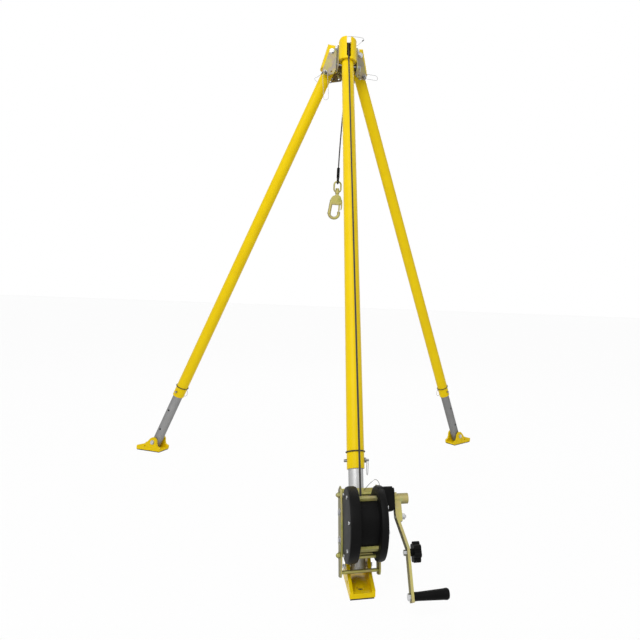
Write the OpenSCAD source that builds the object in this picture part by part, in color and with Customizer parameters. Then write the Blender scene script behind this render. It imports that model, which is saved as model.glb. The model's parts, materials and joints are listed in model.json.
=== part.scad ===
/* [Legs] */
// Lean of each leg from the vertical, degrees
leg_lean = 24; // [18:0.5:28]
// Radius of the leg pivots from the tripod axis
pivot_r = 57; // [54:0.5:70]
// Outer diameter of the upper leg tube
tube_d = 60; // [58:0.5:62]
// Wall of the leg tubes
tube_wall = 3; // [2.5:0.5:4]
// Outer diameter of the lower leg tube
inner_d = 50; // [48:0.5:51]
// From the leg pivot to the lower end of the upper tube
upper_len = 2040; // [1600:5:2400]
// From the lower end of the upper tube to the foot pivot, as it stands
rest_out = 278; // [270:2:340]
// Distance between the holes of the lower tube
hole_pitch = 114; // [110:1:118]
// Height of the leg pin above the end of the upper tube
pin_up = 27; // [20:1:32]
// Length of the lower tube above the foot pivot
inner_len = 1180; // [1140:5:1400]
// Diameter of the leg pins and lock pins
pin_d = 10; // [8:0.5:11]
// Diameter of the rubber band's cord
band_d = 4; // [3:0.5:5]

/* [Head] */
// Thickness of the bent side plates
plate_t = 5; // [4:0.5:6]
// Diameter of the leg yokes
yoke_d = 94; // [90:1:96]
// Diameter of the leg pivot bolts
bolt_d = 16; // [12:1:18]
// Rise of the leg yokes above their pivots
yoke_rise = 40; // [34:1:60]
// Width of the sheave slot in the front yoke
slot_w = 22; // [18:1:24]
// Distance of the front lock pin from its leg pivot
front_lock_r = 100; // [94:1:102]
// Distance of the rear lock pins from their leg pivots
rear_lock_r = 116; // [114:1:118]
// Thickness of the anchor webs
web_t = 8; // [6:0.5:10]
// Diameter of the anchor holes
anchor_d = 22; // [16:1:24]

/* [Load line] */
// Diameter of the rope
rope_d = 7; // [5:0.5:8]
// Radius of the rope on the sheave
sheave_r = 34; // [31:0.5:38]
// Height of the top of the hook's swivel eye above the floor
hook_z = 1474; // [900:10:1500]
// Sideways stand of the hook
hook_x = -10; // [-14:1:0]

/* [Feet] */
// Height of the foot pivots above the floor
foot_h = 50; // [48:1:60]
// Width of a foot
foot_w = 76; // [74:1:84]
// Length of a foot outward of its pivot
toe_len = 102; // [95:1:120]
// Length of a foot inward of its pivot
heel_len = 48; // [42:1:60]
// Thickness of the rubber pad
pad_t = 5; // [4:0.5:6]
// Inset of the rubber pad from the foot's edge
pad_in = 2; // [1:0.5:8]
// Diameter of the hole in the foot
stake_d = 24; // [16:1:26]
// Diameter of the foot bolts
foot_bolt_d = 12; // [10:1:14]

/* [Winch] */
// Drum axis outward of the leg axis
winch_out = 142; // [140:1:150]
// Drum axis above the foot pivot along the leg
winch_up = 110; // [108:1:114]
// Diameter of the winch housings
cover_d = 206; // [200:1:208]
// Wall of the winch housings
cover_t = 4; // [3:0.5:5]
// Radius of the outer rope layer on the drum
wind_r = 60; // [56:1:61]
// Turns in the outer rope layer
turns = 3; // [2:0.1:3]
// Gear module
gear_m = 2; // [2:0.5:2]
// Teeth of the drum gear
gear_z = 52; // [52:1:52]
// Teeth of the pinion
pinion_z = 12; // [12:1:12]
// Thickness of the side straps
strap_t = 5; // [4:0.5:6]

/* [Crank] */
// Radius of the crank, shaft to grip
crank_r = 254; // [235:1:254]
// Swing of the crank outward of the leg's line, degrees
crank_swing = 8; // [0:1:15]
// Diameter of the crank shaft
shaft_d = 16; // [14:1:18]
// Width of the crank's flat bar
arm_w = 26; // [22:1:30]
// Thickness of the crank's flat bar
arm_t = 8; // [6:0.5:9]
// Length of the grip
grip_len = 104; // [90:1:115]
// Diameter of the grip at its outer end
grip_d = 30; // [28:1:32]
// Diameter of the star knob
knob_d = 56; // [52:1:60]

/* [Hidden] */
$fn = 48;
// running clearance on a radius, and the clearance of loose pins
run_c = 0.05;
pin_c = 0.1;
leg_len = upper_len + rest_out;
foot_r = pivot_r + leg_len * sin(leg_lean);
head_z = foot_h + leg_len * cos(leg_lean);
pin_s = rest_out + pin_up;
pin_r = pin_d / 2;
tube_r = tube_d / 2;
inner_r = inner_d / 2;
yoke_r = yoke_d / 2;
yoke_tilt = 8;
yoke_off = 12;
// foot of the sheave slot in the outer wall, and trim of the yokes below their pivots
slot_z = -88;
yoke_low = 80;
// outline of the side plates from a pivot: top, lower corner, lower edge and the bend's lower end
wing_top = 15;
wing_out = 50;
wing_low = 127;
bend_low = 100;
// anchor webs: upper edge, anchor hole from the axis and below the pivots, and the eye round it
web_top = 30;
anchor_u = 32;
anchor_v = 124;
anchor_w = 14;
plate_in = yoke_r + 0.5;
plate_mid = plate_in + plate_t / 2;
plate_out = plate_in + plate_t;
bend_u = plate_mid / tan(60) - pivot_r;
bend_d = plate_mid / sin(60);
fold = 20;
lock_a = leg_lean - fold / 2;
rope_r = rope_d / 2;
line_y = sheave_r - pivot_r;
// the winch's own frame: x across, y inward, z up the leg
drum_x0 = -24;
drum_x1 = 29;
house_l0 = -59;
house_l1 = -26;
house_r0 = 31;
house_r1 = 54;
box_x1 = 85;
box_w = 68;
gear_x0 = 38;
gear_x1 = 47;
brake_x = 54;
pawl_y = -24;
pawl_z = -24.5;
pawl_r = 3.5;
shaft_a = 16;
cover_r = cover_d / 2;
gear_c = gear_m * (gear_z + pinion_z) / 2;
shaft_dy = -gear_c * sin(shaft_a);
shaft_dz = gear_c * cos(shaft_a);
shaft_y = -winch_out + shaft_dy;
shaft_z = winch_up + shaft_dz;
crank_x = 88;
arm_x = 114;
boss_x1 = 132;
// the hub's lug beside the arm, and its bolt below the shaft
hub_x1 = 108;
hub_bolt_z = 50;
knob_z = 146;
knob_off = 10;
// the rope between drum and sheave: a crossed tangent of two circles, seen in the leg's plane
span_y = winch_out;
span_z = leg_len - winch_up;
span = sqrt(span_y * span_y + span_z * span_z);
cross_a = asin((wind_r + sheave_r) / span);
line_a = atan2(span_y, span_z);
run_a = line_a - cross_a;
run_len = sqrt(span * span - pow(wind_r + sheave_r, 2));
run_y0 = -winch_out + wind_r * cos(run_a);
run_z0 = winch_up - wind_r * sin(run_a);
drop_len = head_z - hook_z - 68.05;
// the snap hook: wire of its eye, shank, gate pin, and the round bowl below
eye_wire = 4.2;
shank_r = 6;
gate_pin_r = 3;
gate_at = [17, 0, -104];
bowl_at = [-11.7, 0, -171];
bowl_r = 24.5;
tip_a = 12;
// the winding on the drum: rings in a turn, pitch, and the core that clears its chords
wind_n = 24;
wind_pitch = rope_d + 0.5;
core_r = wind_r - rope_r - 0.6;
function wind_pt(i) = let(a = -run_a - 360 * i / wind_n)
  [wind_pitch * i / wind_n, wind_r * cos(a), wind_r * sin(a)];
wind_m = floor(turns * wind_n);
wind_pts = [for (i = [0:wind_m]) wind_pt(i)];
wind_first = wind_pts[0] + rope_d * [0, sin(run_a), cos(run_a)];
wind_tail = wind_pts[wind_m] - wind_pts[wind_m - 1];
wind_last = wind_pts[wind_m] + rope_d * wind_tail / norm(wind_tail);
echo(rope_gap = min([for (i = [0:wind_m]) for (j = [i + wind_n / 2:1:wind_m])
  norm(wind_pts[i] - wind_pts[j])]) - rope_d);
// rods and screws of the winch frame, and the seats of its saddle along the leg
rod_pts = [[-62, 196], [-62, 30], [-56, -15]];
screw_pts = [[-72, 146], [-72, 70]];
seat_s = [46, 186];
strap_low = 28;
strap_high = 222;
strap_out = 88;
ratchet_z = 14;
// the part stands with its footprint's middle at the origin
grip_rad = foot_r - (shaft_z - crank_r * cos(crank_swing)) * sin(leg_lean)
  + (-shaft_y + crank_r * sin(crank_swing)) * cos(leg_lean);
front_reach = max(grip_rad + grip_d / 2,
  foot_r - winch_up * sin(leg_lean) + winch_out * cos(leg_lean) + cover_r);
rear_reach = (foot_r + toe_len) * 0.5 + foot_w / 2 * sin(60);
mid_y = (front_reach - rear_reach) / 2;

zinc = [0.80, 0.77, 0.48];
yellow = [0.95, 0.80, 0.05];
alu = [0.72, 0.73, 0.72];
black = [0.09, 0.09, 0.10];
steel = [0.62, 0.63, 0.65];
cordc = [0.16, 0.16, 0.17];

// frames

module on_head(az) translate([0, mid_y, 0]) rotate([0, 0, az]) translate([0, -pivot_r, head_z]) children();

module on_leg(az) translate([0, mid_y, 0]) rotate([0, 0, az]) translate([0, -foot_r, foot_h])
  rotate([-leg_lean, 0, 0]) children();

module on_foot(az) translate([0, mid_y, 0]) rotate([0, 0, az]) translate([0, -foot_r, 0]) children();

module on_drum() on_leg(0) translate([0, -winch_out, winch_up]) children();

module on_shaft() on_leg(0) translate([0, shaft_y, shaft_z]) children();

module on_crank() on_shaft() rotate([-crank_swing, 0, 0]) children();

module on_line() translate([hook_x, mid_y + line_y, hook_z]) children();

// simple forms

module xcyl(r, x0, x1) translate([x0, 0, 0]) rotate([0, 90, 0]) cylinder(r = r, h = x1 - x0);

module ycyl(r, y0, y1) translate([0, y0, 0]) rotate([-90, 0, 0]) cylinder(r = r, h = y1 - y0);

module xhex(af, x0, x1) translate([x0, 0, 0]) rotate([0, 90, 0])
  cylinder(d = af / cos(30), h = x1 - x0, $fn = 6);

module xplate(x0, x1) translate([x0, 0, 0]) rotate([90, 0, 90]) linear_extrude(x1 - x0) children();

module round_square(w, r) {
  square([w, w - 2 * r], center = true);
  square([w - 2 * r, w], center = true);
  for (y = [-1, 1]) for (z = [-1, 1]) translate([y * (w / 2 - r), z * (w / 2 - r)]) circle(r);
}

module xring(r, x0, x1, bore) difference() {
  xcyl(r, x0, x1);
  xcyl(bore, x0 - 1, x1 + 1);
}

// a wire loop that hangs down from the origin, in the plane x = 0
module wire_loop(w, h, r) {
  a = w / 2;
  for (s = [-1, 1]) translate([0, s * a, -h + a]) cylinder(r = r, h = h - 2 * a);
  translate([0, 0, -a]) rotate([90, 0, 90]) rotate_extrude(angle = 180) translate([a, 0]) circle(r);
  translate([0, 0, -h + a]) rotate([90, 180, 90]) rotate_extrude(angle = 180) translate([a, 0]) circle(r);
}

// a tube through a list of points, made of flat rings
module sweep(pts, r, n = 8) {
  m = len(pts);
  dirs = [for (i = [0:m - 1]) let(d = pts[min(i + 1, m - 1)] - pts[max(i - 1, 0)]) d / norm(d)];
  side = [for (d = dirs) let(c = cross(d, abs(d[0]) < 0.9 ? [1, 0, 0] : [0, 1, 0])) c / norm(c)];
  up = [for (i = [0:m - 1]) cross(dirs[i], side[i])];
  v = [for (i = [0:m - 1]) for (k = [0:n - 1])
    pts[i] + r * (cos(360 * k / n) * side[i] + sin(360 * k / n) * up[i])];
  walls = [for (i = [0:m - 2]) for (k = [0:n - 1]) let(a = i * n + k, b = i * n + (k + 1) % n)
    each [[a, a + n, b + n], [a, b + n, b]]];
  polyhedron(concat(v, [pts[0], pts[m - 1]]),
    concat(walls, [for (k = [0:n - 1]) [m * n, k, (k + 1) % n]],
      [for (k = [0:n - 1]) [m * n + 1, (m - 1) * n + (k + 1) % n, (m - 1) * n + k]]));
}

function tooth_pts(z, m, a0) = [for (i = [0:z - 1]) let(a = a0 + 360 * i / z, p = 360 / z)
  each [m * (z / 2 - 1.25) * [cos(a - 0.30 * p), sin(a - 0.30 * p)],
    m * (z / 2) * [cos(a - 0.215 * p), sin(a - 0.215 * p)],
    m * (z / 2 + 0.85) * [cos(a - 0.10 * p), sin(a - 0.10 * p)],
    m * (z / 2 + 0.85) * [cos(a + 0.10 * p), sin(a + 0.10 * p)],
    m * (z / 2) * [cos(a + 0.215 * p), sin(a + 0.215 * p)],
    m * (z / 2 - 1.25) * [cos(a + 0.30 * p), sin(a + 0.30 * p)]]];

// head

// the rear pins sit lower, so that a pulled pin passes below the front one
function lock_r(az) = az % 360 == 0 ? front_lock_r : rear_lock_r;

module wing_2d(az) difference() {
  polygon([[-bend_u, -bend_low], [-bend_u, wing_top], [-wing_out / 8, wing_top],
    [-wing_out / 3.6, wing_top / 2], [-wing_out, -bend_low], [-wing_out * 0.96, -wing_low + 11], [-wing_out * 0.76, -wing_low],
    [wing_out * 0.32, -wing_low + 2]]);
  circle(bolt_d / 2 + run_c);
  translate(-lock_r(az) * [sin(lock_a), cos(lock_a)]) circle(pin_r + pin_c);
  translate([2, -wing_low + 15]) circle(pin_r + pin_c);
}

module wing(az, s) on_head(az) translate([s > 0 ? plate_in : -plate_out, 0, 0]) rotate([90, 0, 90])
  linear_extrude(plate_t) wing_2d(az);

module bent_plate(az) {
  wing(az, 1);
  wing(az + 120, -1);
  on_head(az) translate([plate_mid, -bend_u, -bend_low - 1])
    cylinder(r = plate_t / 2 + 0.2, h = bend_low + wing_top);
}

module head_plates() color(zinc) for (az = [0, 120, 240]) bent_plate(az);

module web_2d() difference() {
  polygon([[0, -web_top], [bend_d, -web_top], [bend_d, -anchor_v + 36], [anchor_u + anchor_w, -anchor_v + 22],
    [anchor_u + anchor_w, -anchor_v - 12], [anchor_u + 6, -anchor_v - 22], [anchor_u - 6, -anchor_v - 22],
    [anchor_u - anchor_w, -anchor_v - 12], [anchor_u - anchor_w, -anchor_v + 16], [0, -anchor_v + 26]]);
  translate([anchor_u, -anchor_v]) circle(anchor_d / 2);
}

// three webs welded to the bends of the side plates
module head_spider() color(zinc) difference() {
  translate([0, mid_y, head_z]) for (az = [60, 180, 300]) rotate([0, 0, az - 90]) translate([0, web_t / 2, 0])
    rotate([90, 0, 0]) linear_extrude(web_t) web_2d();
  head_plates();
}

// the side of the head on which a pivot bolt or lock pin has its head
function near(az) = az == 120 ? -1 : 1;

module pivot_bolt() {
  xcyl(bolt_d / 2, -plate_out - 12, plate_out + 1);
  xhex(bolt_d + 5, plate_out, plate_out + 9);
  xhex(bolt_d + 5, -plate_out - 9, -plate_out);
}

module leg_pivot_bolts() color(steel) for (az = [0, 120, 240]) on_head(az)
  rotate([0, 0, near(az) > 0 ? 0 : 180]) pivot_bolt();

module sheave() color(black) on_head(0) rotate([0, 90, 0]) rotate_extrude()
  polygon([[bolt_d / 2 + run_c, -9], [sheave_r + 4, -9], [sheave_r + 4, -7], [sheave_r, -rope_r - 1],
    [sheave_r - 2.9, -rope_r + 1], [sheave_r - rope_r - 0.3, -1.2], [sheave_r - rope_r - 0.3, 1.2],
    [sheave_r - 2.9, rope_r - 1], [sheave_r, rope_r + 1], [sheave_r + 4, 7], [sheave_r + 4, 9],
    [bolt_d / 2 + run_c, 9]]);

module lock_pin(az, w, h, turn) on_head(az) rotate([0, 0, near(az) > 0 ? 0 : 180])
  translate(-lock_r(az) * [0, near(az) * sin(lock_a), cos(lock_a)]) {
    xcyl(pin_r, -plate_out - 6, plate_out + 1);
    xcyl(pin_r + 4, plate_out, plate_out + 8);
    xcyl(pin_r, plate_out + 7, plate_out + 20);
    translate([plate_out + 15, 0, 0]) rotate([turn, 0, 0]) translate([0, 0, 1]) wire_loop(w, h, 1);
  }

module front_lock_pin() color(steel) lock_pin(0, 34, 44, 0);

module left_lock_pin() color(steel) lock_pin(240, 28, 160, 6);

module right_lock_pin() color(steel) lock_pin(120, 26, 90, 101);

// legs

module lock_slot(az) translate([0, 0, leg_len]) {
  a = fold / 2;
  r = lock_r(az);
  translate([-60, 0, 0]) rotate([0, 90, 0]) rotate([0, 0, -a]) rotate_extrude(angle = 2 * a)
    translate([r - pin_r - 0.5, 0]) square([pin_d + 1, 120]);
  for (s = [-1, 1]) rotate([s * a, 0, 0]) translate([0, 0, -r]) xcyl(pin_r + 0.5, -60, 60);
}

// open through beside the sheave, and lower down in the outer wall alone
module sheave_slot() {
  translate([-slot_w / 2, -90, -sheave_r - 6]) cube([slot_w, 180, 150]);
  translate([-slot_w / 2, -90, slot_z]) cube([slot_w, 70, 150]);
  translate([0, 0, slot_z]) ycyl(slot_w / 2, -90, -20);
}

// the rope's way out below the slot, and its clearance inside when the leg folds
module rope_way() {
  translate([-rope_r - 2, -90, -120]) cube([rope_d + 4, 58, 60]);
  translate([-rope_r - 2, tube_r + 2, -120]) cube([rope_d + 4, 60, 100]);
}

module outer_tube(az) on_leg(az) difference() {
  translate([0, 0, rest_out]) cylinder(r = tube_r, h = upper_len - 12);
  translate([0, 0, rest_out - 1]) cylinder(r = tube_r - tube_wall, h = upper_len + 2);
  translate([0, 0, pin_s]) xcyl(pin_r + pin_c, -60, 60);
  lock_slot(az);
  if (az == 0) translate([0, 0, leg_len]) sheave_slot();
}

module front_outer_tube() color(yellow) outer_tube(0);

module left_outer_tube() color(yellow) outer_tube(240);

module right_outer_tube() color(yellow) outer_tube(120);

module yoke_side_2d(rise, rc) {
  translate([-yoke_r, -120]) square([yoke_d, rise + 120 - rc]);
  translate([-yoke_r + rc, -120]) square([yoke_d - 2 * rc, rise + 120]);
  for (s = [-1, 1]) translate([s * (yoke_r - rc), rise - rc]) circle(rc);
}

module sector_2d() polygon([[0, pivot_r - 1.5], [-300, pivot_r - 1.5 - 300 / tan(60)],
  [300, pivot_r - 1.5 - 300 / tan(60)]]);

module yoke(az, rise, rc) difference() {
  intersection() {
    on_head(az) rotate([-leg_lean + yoke_tilt, 0, 0]) translate([0, -yoke_off, -120])
      cylinder(r = yoke_r, h = rise + 120);
    on_head(az) rotate([-leg_lean + yoke_tilt, 0, 0]) translate([0, 150, 0]) rotate([90, 0, 0])
      linear_extrude(300) yoke_side_2d(rise, rc);
    on_head(az) translate([0, 0, -yoke_low]) linear_extrude(300) sector_2d();
  }
  on_leg(az) cylinder(r = tube_r, h = leg_len - 12);
  on_head(az) xcyl(bolt_d / 2 + run_c, -60, 60);
  on_leg(az) lock_slot(az);
  if (az == 0) {
    on_head(az) rotate([-leg_lean, 0, 0]) sheave_slot();
    on_head(az) rotate([-leg_lean, 0, 0]) rope_way();
  }
}

module front_yoke() color(yellow) yoke(0, yoke_rise, 14);

module left_yoke() color(yellow) yoke(240, yoke_rise, 18);

module right_yoke() color(yellow) yoke(120, yoke_rise, 18);

module guide_bush(az) on_leg(az) translate([0, 0, rest_out]) difference() {
  cylinder(r = tube_r - tube_wall, h = 70);
  translate([0, 0, -1]) cylinder(r = inner_r + 0.1, h = 80);
  translate([0, 0, pin_up]) xcyl(pin_r + pin_c, -60, 60);
}

module front_guide_bush() color(black) guide_bush(0);

module left_guide_bush() color(black) guide_bush(240);

module right_guide_bush() color(black) guide_bush(120);

module band(az) on_leg(az) translate([0, 0, pin_s + 27]) rotate_extrude() translate([tube_r + band_d / 2, 0])
  circle(band_d / 2);

module front_band() color(black) band(0);

module left_band() color(black) band(240);

module right_band() color(black) band(120);

module leg_pin(az, s, h) on_leg(az) translate([0, 0, pin_s]) rotate([0, 0, s > 0 ? 0 : 180]) {
  xcyl(pin_r, -tube_r - 10, tube_r + 1);
  xcyl(pin_r + 4, tube_r, tube_r + 6);
  xcyl(pin_r - 1, tube_r + 5, tube_r + 16);
  translate([tube_r + 12, 0, 1]) rotate([s * leg_lean, 0, 0]) wire_loop(26, h, 1);
}

module front_leg_pin() color(steel) leg_pin(0, 1, 50);

module left_leg_pin() color(steel) leg_pin(240, -1, 36);

module right_leg_pin() color(steel) leg_pin(120, 1, 36);

module inner_tube(az) on_leg(az) difference() {
  translate([0, 0, -22]) cylinder(r = inner_r, h = inner_len + 22);
  translate([0, 0, -23]) cylinder(r = inner_r - tube_wall, h = inner_len + 30);
  xcyl(foot_bolt_d / 2 + 2, -60, 60);
  for (i = [-2:6]) translate([0, 0, pin_s + i * hole_pitch]) xcyl(pin_r + pin_c, -60, 60);
}

module front_inner_tube() color(alu) inner_tube(0);

module left_inner_tube() color(alu) inner_tube(240);

module right_inner_tube() color(alu) inner_tube(120);

// feet

module cheek_2d() {
  difference() {
    union() {
      polygon([[-toe_len, pad_t], [-toe_len, 24], [-70, 33], [-42, foot_h - 8], [-21, foot_h + 14],
        [0, foot_h + 2], [22, foot_h], [30, 30], [heel_len, 22], [heel_len, pad_t]]);
      translate([0, foot_h]) circle(25);
    }
    translate([0, foot_h]) circle(foot_bolt_d / 2 + run_c);
    translate([-48, 25]) circle(5);
  }
}

module foot(az) on_foot(az) difference() {
  union() {
    for (x = [-foot_w / 2, foot_w / 2 - 10]) xplate(x, x + 10) cheek_2d();
    translate([-foot_w / 2 + 5, -toe_len, pad_t]) cube([foot_w - 10, toe_len + heel_len, 9]);
    translate([-foot_w / 2 + 5, -toe_len, pad_t]) cube([foot_w - 10, 12, 13]);
  }
  translate([0, -62, -1]) cylinder(d = stake_d, h = 40);
}

module front_foot() color(yellow) foot(0);

module left_foot() color(yellow) foot(240);

module right_foot() color(yellow) foot(120);

module foot_pad(az) on_foot(az) difference() {
  translate([-foot_w / 2 + pad_in, -toe_len + pad_in, 0])
    cube([foot_w - 2 * pad_in, toe_len + heel_len - 2 * pad_in, pad_t]);
  translate([0, -62, -1]) cylinder(d = stake_d, h = 40);
}

module front_foot_pad() color(black) foot_pad(0);

module left_foot_pad() color(black) foot_pad(240);

module right_foot_pad() color(black) foot_pad(120);

// the bolt's collars fill the space between the tube and the cheeks
module foot_bolt(az) on_leg(az) {
  b = foot_w / 2;
  xcyl(foot_bolt_d / 2, -b - 10, b + 1);
  xcyl(foot_bolt_d / 2 + 2, -b + 10.2, b - 10.2);
  xhex(foot_bolt_d + 6, b + 0.2, b + 7);
  xhex(foot_bolt_d + 6, -b - 7, -b - 0.2);
}

module front_foot_bolt() color(steel) foot_bolt(0);

module left_foot_bolt() color(steel) foot_bolt(240);

module right_foot_bolt() color(steel) foot_bolt(120);

// winch frame

module winch_saddle() color(zinc) on_leg(0) difference() {
  union() {
    translate([house_l0, -33, 30]) cube([house_r1 - house_l0, 6, 186]);
    for (s = seat_s) translate([-20, -28, s - 14]) cube([40, 20, 28]);
  }
  translate([0, 0, -40]) cylinder(r = inner_r, h = 300);
  for (s = seat_s) for (x = [-inner_r - 12, inner_r + 12]) translate([x, 0, s]) ycyl(4, -60, -20);
}

// a flat band round the lower tube, with a foot on each side
module clamp_band() {
  difference() {
    union() {
      rotate_extrude(angle = 180) translate([inner_r, -10]) square([4, 20]);
      for (x = [-inner_r - 4, inner_r]) translate([x, -27, -10]) cube([4, 27, 20]);
      for (x = [-inner_r - 20, inner_r]) translate([x, -27, -10]) cube([20, 4, 20]);
    }
    for (x = [-inner_r - 12, inner_r + 12]) translate([x, 0, 0]) ycyl(4, -40, -20);
  }
}

module winch_clamps() color(zinc) on_leg(0) for (s = seat_s) translate([0, 0, s]) clamp_band();

module strap_2d() difference() {
  polygon([[-inner_r - 2, -strap_low + 2], [-inner_r - 2, strap_high - 8], [rod_pts[0][0] + 2, strap_high],
    [rod_pts[0][0] - 14, strap_high - 10], [-strap_out, screw_pts[0][1] + 4], [-strap_out, screw_pts[1][1] - 4],
    [rod_pts[2][0] - 16, rod_pts[2][1] - 3], [rod_pts[2][0] - 6, -strap_low],
    [rod_pts[2][0] + 12, -strap_low]]);
  for (p = rod_pts) translate(p) circle(5);
  for (p = screw_pts) translate(p) circle(5);
}

module winch_straps() color(zinc) on_leg(0) {
  xplate(house_l0 - strap_t, house_l0) strap_2d();
  xplate(house_r1, house_r1 + strap_t) strap_2d();
}

module acorn_nut() {
  xhex(15, 0, 6);
  translate([6, 0, 0]) sphere(r = 6.6);
}

// rods between the straps, the lowest welded flush, and three bars between the housings
module winch_cross_bars() color(zinc) {
  on_leg(0) for (i = [0:2]) translate([0, rod_pts[i][0], rod_pts[i][1]]) {
    xcyl(5, house_l0 - strap_t - 1, house_r1 + strap_t + 1);
    if (i < 2) {
      translate([house_l0 - strap_t, 0, 0]) rotate([0, 0, 180]) acorn_nut();
      translate([house_r1 + strap_t, 0, 0]) acorn_nut();
    }
  }
  on_drum() for (a = [57, -62]) rotate([-a, 0, 0]) translate([house_l1, -80.5, -7])
    cube([house_r0 - house_l1, 8, 14]);
  on_drum() translate([0, 6, -86]) xcyl(5, house_l1, house_r0);
}

module clamp_screw() {
  ycyl(4, -38, -22);
  for (y = [-39, -23]) translate([0, y, 0]) rotate([-90, 0, 0]) cylinder(d = 15, h = 6, $fn = 6);
}

module winch_screws() color(steel) on_leg(0) {
  for (p = screw_pts) translate([0, p[0], p[1]]) {
    xcyl(5, house_l0 - strap_t - 1, house_l0 + cover_t);
    xhex(16, house_l0 - strap_t - 7, house_l0 - strap_t);
    xcyl(5, house_r1 - cover_t, house_r1 + strap_t + 1);
    xhex(16, house_r1 + strap_t, house_r1 + strap_t + 7);
  }
  for (s = seat_s) for (x = [-inner_r - 12, inner_r + 12]) translate([x, 0, s]) clamp_screw();
}

// a dished housing between x0 and x1
module dish(x0, x1, r) rotate([0, 90, 0]) rotate_extrude()
  polygon([[0, x0], [r - 8, x0], [r - 2, x0 + 2], [r, x0 + 8],
    [r, x1 - 8], [r - 2, x1 - 2], [r - 8, x1], [0, x1]]);

module screw_bores() translate([0, winch_out, -winch_up]) for (p = screw_pts)
  translate([0, p[0], p[1]]) xcyl(5, -80, 80);

module left_housing() color(black) on_drum() difference() {
  dish(house_l0, house_l1, cover_r);
  xcyl(cover_r - cover_t - 2, house_l0 + cover_t, house_l1 - cover_t);
  xcyl(22, house_l1 - 10, house_l1 + 1);
  xcyl(8, house_l0 + 1, 0);
  screw_bores();
}

module right_housing() color(black) on_drum() difference() {
  union() {
    dish(house_r0, house_r1, cover_r);
    translate([0, shaft_dy, shaft_dz]) xplate(house_r0 + 1, box_x1 - 6) round_square(box_w, 12);
    translate([0, shaft_dy, shaft_dz]) xplate(box_x1 - 7, box_x1) round_square(box_w - 8, 10);
  }
  xcyl(cover_r - cover_t - 2, house_r0 + cover_t, house_r1 - cover_t);
  translate([0, shaft_dy, shaft_dz]) xplate(house_r0 + cover_t, box_x1 - 6 - cover_t)
    round_square(box_w - 2 * cover_t, 8);
  xcyl(22, house_r0 - 1, house_r0 + 10);
  xcyl(8, 0, house_r1 - 1);
  translate([0, shaft_dy, shaft_dz]) xcyl(shaft_d / 2 + run_c, 0, 120);
  translate([0, shaft_dy + pawl_y, shaft_dz + pawl_z]) xcyl(pawl_r + run_c, box_x1 - cover_t - 7, box_x1 - 1.5);
  screw_bores();
}

module drum_guard() color(black) on_drum() rotate([0, 90, 0]) translate([0, 0, house_l1])
  rotate([0, 0, 270 - 57]) rotate_extrude(angle = 114) translate([70, 0]) square([2.5, house_r0 - house_l1]);

module drum_axle() color(steel) on_drum() xcyl(8, house_l0 + 1, house_r1 - 1);

// winch train

module drum() color(steel) on_drum() rotate([0, 90, 0]) rotate_extrude()
  polygon([[8 + run_c, house_l1 - 6], [20, house_l1 - 6], [20, drum_x0], [68, drum_x0], [68, drum_x0 + 3],
    [core_r, drum_x0 + 3], [core_r, drum_x1 - 3], [68, drum_x1 - 3], [68, drum_x1],
    [20, drum_x1], [20, gear_x0], [8 + run_c, gear_x0]]);

module drum_gear() color(steel) on_drum() xplate(gear_x0, gear_x1) rotate(90 + shaft_a) difference() {
  polygon(tooth_pts(gear_z, gear_m, 0));
  circle(8 + run_c);
  for (i = [0:5]) rotate(60 * i + 30) translate([32, 0]) circle(8);
}

module drum_rope() color(cordc) on_drum() sweep(concat([wind_first], wind_pts, [wind_last]), rope_r, 6);

module crank_shaft() color(steel) on_shaft() {
  xcyl(shaft_d / 2, house_r0 + 1, boss_x1);
  xplate(gear_x0 - 1, gear_x1 + 1) rotate(270 + shaft_a) polygon(tooth_pts(pinion_z, gear_m, 180 / pinion_z));
}

module load_brake() color(steel) on_shaft() {
  xring(26, brake_x, brake_x + 3.9, shaft_d / 2);
  xring(26, brake_x + 10.1, brake_x + 14, shaft_d / 2);
  xplate(brake_x + 4, brake_x + 10) difference() {
    polygon([for (i = [0:ratchet_z - 1]) let(p = 360 / ratchet_z) each [24 * [cos(i * p), sin(i * p)],
      29 * [cos(i * p + 1), sin(i * p + 1)]]]);
    circle(shaft_d / 2);
  }
}

module brake_pawl() color(steel) on_shaft() translate([0, pawl_y, pawl_z]) {
  xcyl(pawl_r, brake_x - 2, box_x1 - 2);
  xplate(brake_x + 4, brake_x + 10) polygon([[-4.5, 0], [0, -4.5], [5, -4.5], [5.6, 0.4], [4.2, 2], [-4, 4.5]]);
}

// crank

module arm_2d() polygon([[crank_x, 16], [crank_x, -50], [arm_x, -136], [arm_x, -crank_r - 14],
  [arm_x + arm_t, -crank_r - 14], [arm_x + arm_t, -134.5], [crank_x + arm_t, -48.5], [crank_x + arm_t, 16]]);

module crank_arm() color(zinc) on_crank() difference() {
  union() {
    translate([0, arm_w / 2, 0]) rotate([90, 0, 0]) linear_extrude(arm_w) arm_2d();
    xcyl(15, box_x1 + 1, boss_x1);
    translate([crank_x + arm_t - 1, -arm_w / 2 + 1, -hub_bolt_z - 14])
      cube([hub_x1 - crank_x - arm_t + 1, arm_w - 2, hub_bolt_z + 14]);
  }
  xcyl(shaft_d / 2, 0, 200);
  translate([0, 0, -crank_r]) xcyl(5, 0, 200);
  translate([0, 0, -knob_z]) xcyl(4, 0, 200);
  translate([0, 0, -hub_bolt_z]) xcyl(4, 0, 200);
}

module star_2d() {
  circle(knob_d * 0.39);
  for (i = [0:6]) rotate(360 / 7 * i) translate([knob_d / 2 - 8, 0]) circle(8);
}

module crank_knob() color(black) on_crank() translate([arm_x + arm_t, 0, -knob_z]) difference() {
  union() {
    xcyl(10, 0.2, knob_off + 1);
    xplate(knob_off, knob_off + 21) star_2d();
    xcyl(knob_d * 0.27, knob_off + 20, knob_off + 24);
  }
  xcyl(4 + run_c, -1, knob_off + 16);
}

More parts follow.
